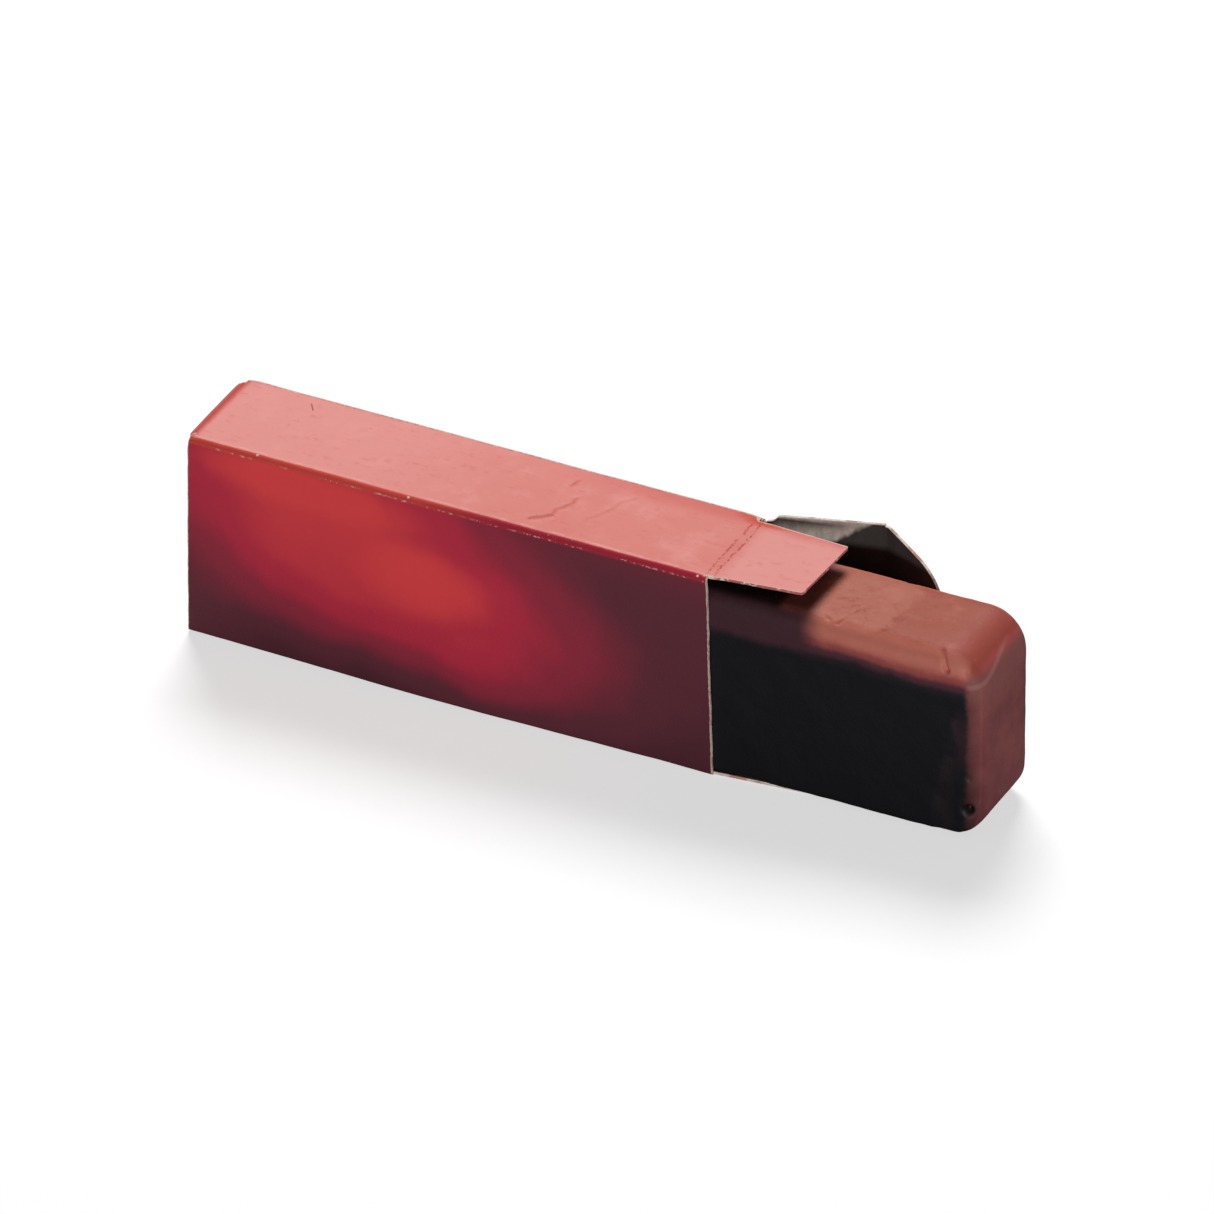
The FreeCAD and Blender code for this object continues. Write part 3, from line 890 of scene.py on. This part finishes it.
def red_compound():
    f = Finish("red_compound")
    cloud = f.noise(7.0, 4.0, 0.6)
    mottle = f.noise(1.8, 4.0, 0.65, shift=2.0)
    top = f.blend(
        (f.x + (cloud - 0.5) * 8.0 + (mottle - 0.5) * 3.0).step(80.8, 82.6),
        paint(180, 111, 96, *TOP),
        paint(169, 97, 83, *TOP),
    )
    top = f.blend((f.x + (cloud - 0.5) * 6.0).step(91.0, 96.5), top, paint(160, 83, 73, 0.80, 0.02))
    flat_part = f.x.step(97.0, 93.0)
    top = f.blend(mottle.step(0.52, 0.75) * 0.5 * flat_part, top, paint(152, 82, 68, *TOP))
    top = f.blend(cloud.step(0.5, 0.7) * 0.5 * flat_part, top, paint(190, 120, 104, *TOP))
    # Painted shadow of the lid's flap on the top near the carton, and painted shade, nearly black, in the gap under the
    # flap
    flap_shadow_line = f.x + f.y * 0.2 + (mottle - 0.5) * 0.8
    top = f.blend(flap_shadow_line.step(69.4, 65.4) * 0.65, top, paint(84, 42, 48))
    top = f.blend((f.x + (mottle - 0.5) * 1.5).step(63.6, 61.6) * 0.95, top, paint(22, 14, 14))
    end = f.blend(cloud.step(0.35, 0.7), paint(101, 56, 58, *END), paint(112, 64, 62, *END))
    end = f.blend(f.z.step(25.0, 31.0), end, paint(114, 70, 67, *END))
    end = f.blend((f.z + (mottle - 0.5) * 1.5).step(32.0, 34.4), end, paint(140, 62, 60, *END))
    # A painted highlight along the line where the end's top rounding begins
    end_highlight = abs(f.z - 31.0 - (f.y + 9.0) * 0.25 + (cloud - 0.5) * 0.6).step(0.7, 0.15) * f.y.step(7.0, 1.0)
    end = f.blend(end_highlight * 0.5, end, paint(142, 96, 92, *END))
    low = (f.y + f.z * 0.4 + (mottle - 0.5) * 3.0).step(-4.0, -9.0)
    end = f.blend(low * 0.5, end, paint(86, 50, 55, *END))
    # Painted shade on the end near its front edge, stronger low down
    end = f.shade(end, 1 - f.y.step(-5.5, -9.5) * (0.36 + f.z.step(22.0, 8.0) * 0.3))
    end = f.shade(end, 1 - (f.x + (mottle - 0.5)).step(100.6, 98.4) * f.z.step(32.0, 24.0) * 0.4)
    brown = f.blend((f.x - f.z.step(29.0, 35.0) * 3.4 + (mottle - 0.5) * 0.8).step(95.6, 97.4), top, end)
    # Painted shade: the long sides are nearly black, fading up into the brown over the top edges
    height = f.z + (cloud - 0.5) * 2.0 + (mottle - 0.5) * 0.8
    fading = (height + f.x.step(70.0, 92.0) * 0.8).step(27.8, 35.0)
    shaded_side_colour = f.ramp(
        fading,
        (
            (0.0, paint(15, 15, 18, SIDE_LIGHT)),
            (0.16, paint(25, 21, 25, SIDE_LIGHT)),
            (0.42, paint(66, 36, 43, SIDE_LIGHT)),
            (0.68, paint(128, 62, 59, 0.64)),
            (1.0, paint(174, 100, 86, 0.70)),
        ),
    )
    # Painted shadow of the lid's flap on the top edge of the sides, near the carton
    flap_shadow_colour = paint(54, 30, 37, SIDE_LIGHT)
    shaded_side_colour = f.blend(flap_shadow_line.step(70.2, 64.4) * height.step(28.6, 31.0), shaded_side_colour, flap_shadow_colour)
    side = abs(f.y - (f.x - FIRM_X) * 0.0166).step(7.2, 9.0)
    # The painted shade of the sides ends in a ragged line before the end
    edge_x = 98.3 + (mottle - 0.5) * 1.6 + (cloud - 0.5) * 1.0
    before_end = (f.x - edge_x).step(0.7, -0.6)
    colour = f.blend(side * before_end, brown, shaded_side_colour)
    # The scraped strip is painted dark as well, as part of the painted shade of the side
    ragged = (mottle - 0.5) * 2.5 + (cloud - 0.5) * 7.0
    strip = (f.x - 91.6 - f.z * 0.17 + ragged).step(0.0, 1.8) * side * before_end * f.z.step(27.0, 22.0)
    black_band = f.z.step(16.0, 11.0) * (f.x + (mottle - 0.5) * 1.2).step(95.4, 96.4)
    scraped = f.blend(f.z.step(10.0, 22.0), paint(31, 26, 29), paint(52, 34, 42))
    colour = f.blend(strip * (1 - black_band) * 0.8, colour, scraped)
    # Painted shade in the chip near the bottom and in the pit of the nick
    hole_shade = f.spot((98.7, -8.8, 6.2), 1.35).most(f.spot((94.3, -9.7, 33.8), 0.5) * 0.7)
    colour = f.blend(hole_shade * 0.95, colour, paint(14, 10, 11))
    pale = f.noise(0.45, 2.0, 0.6, shift=9.0).step(0.70, 0.76) * (1 - side)
    colour = f.blend(pale * 0.35, colour, paint(204, 150, 136))
    matt = f.blend(side * before_end, grey(0.58), grey(0.5))
    grain = f.noise(0.7, 4.0, 0.6) + f.noise(2.6, 3.0, 0.55) * 1.6
    return f.principled(
        {"Base Color": colour, "Roughness": matt, "Normal": f.bump(grain, 0.05 * MM), "Specular IOR Level": 0.25}
    )


# %% Dress the carton and the bar
carton = finish_mesh(sheet, "carton_board", [printed_board(), grey_back(), cut_edge()])
solidify = carton.modifiers.new("thickness", "SOLIDIFY")
solidify.thickness = BOARD
solidify.offset = -1.0
solidify.use_even_offset = True
solidify.material_offset = 1
solidify.material_offset_rim = 2
soften = carton.modifiers.new("soft edges", "BEVEL")
soften.width = 0.07 * MM
soften.segments = 2
soften.limit_method = "ANGLE"
soften.angle_limit = math.radians(50)
soften.harden_normals = True
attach(carton, "root")
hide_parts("carton")

bar = finish_mesh(skin, "cast_bar", [red_compound()])
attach(bar, "root")
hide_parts("compound_bar")

# %% [markdown]
# ## Floor and light
# The photograph has one strong soft light, high behind the object, and little else. So the key lamp stands high at the
# back. A low, wide fill in front lights the print and the end of the bar. It hardly reaches over the bar, so the inside
# of the carton and of its flap stay dark, as in the picture. The floor looks white to the camera, by a little glow of
# its own, and keeps the shadow. For all other rays it is a dull grey, so it throws no bright light up.

# %% A pale floor
FLOOR_SIZE = 6.0
FLOOR_GLOW = 0.62


def floor_material():
    f = Finish("pale_floor")
    lit = f.node("ShaderNodeBsdfDiffuse", {}, {"Color": grey(0.5)})
    glow = f.node("ShaderNodeEmission", {}, {"Color": grey(1.0), "Strength": FLOOR_GLOW})
    both = f.node("ShaderNodeAddShader", {}, {0: lit, 1: glow})
    dull = f.node("ShaderNodeBsdfDiffuse", {}, {"Color": grey(0.25)})
    seen = f.node("ShaderNodeLightPath", output="Is Camera Ray")
    mixed = f.node("ShaderNodeMixShader", {}, {0: seen, 1: dull, 2: both})
    f.node("ShaderNodeOutputMaterial", {}, {"Surface": mixed})
    return f.material


floor_mesh = bmesh.new()
bmesh.ops.create_grid(floor_mesh, x_segments=1, y_segments=1, size=FLOOR_SIZE / 2)
lowest = min(v.co.z for v in carton.data.vertices)
bmesh.ops.translate(floor_mesh, verts=floor_mesh.verts[:], vec=(0.0, 0.0, min(0.0, lowest) - 0.02 * MM))
floor = finish_mesh(floor_mesh, "floor", [floor_material()])

# %% A white background that gives little light
WORLD_STRENGTH = 0.08
world = bpy.data.worlds.new("studio")
bpy.context.scene.world = world
world.use_nodes = True
background = world.node_tree.nodes["Background"]
background.inputs["Color"].default_value = grey(1.0)
path = world.node_tree.nodes.new("ShaderNodeLightPath")
strength = world.node_tree.nodes.new("ShaderNodeMapRange")
strength.inputs["To Min"].default_value = WORLD_STRENGTH
strength.inputs["To Max"].default_value = 1.0
world.node_tree.links.new(path.outputs["Is Camera Ray"], strength.inputs["Value"])
world.node_tree.links.new(strength.outputs["Result"], background.inputs["Strength"])


# %% Two soft lamps
LAMPS_AIM = Vector((0.02, 0.0, 0.02))


def soft_lamp(name, towards, distance, size, power):
    """A flat lamp that shines at the object from the given direction. Its size is its width and height in metres."""
    lamp = bpy.data.objects.new(name, bpy.data.lights.new(name, "AREA"))
    lamp.data.shape = "RECTANGLE"
    lamp.data.size, lamp.data.size_y = size
    lamp.data.energy = power
    direction = Vector(towards).normalized()
    aimed = direction.to_track_quat("Z", "Y").to_matrix().to_4x4()
    lamp.matrix_world = Matrix.Translation(LAMPS_AIM + direction * distance) @ aimed
    bpy.context.scene.collection.objects.link(lamp)


soft_lamp("key", (-0.27, 0.55, 0.8), 1.5, (0.65, 0.65), 22.3)
soft_lamp("fill", (0.5, -0.86, 0.08), 1.8, (1.2, 0.22), 17.5)

scene = bpy.context.scene
scene.view_settings.view_transform = "Standard"
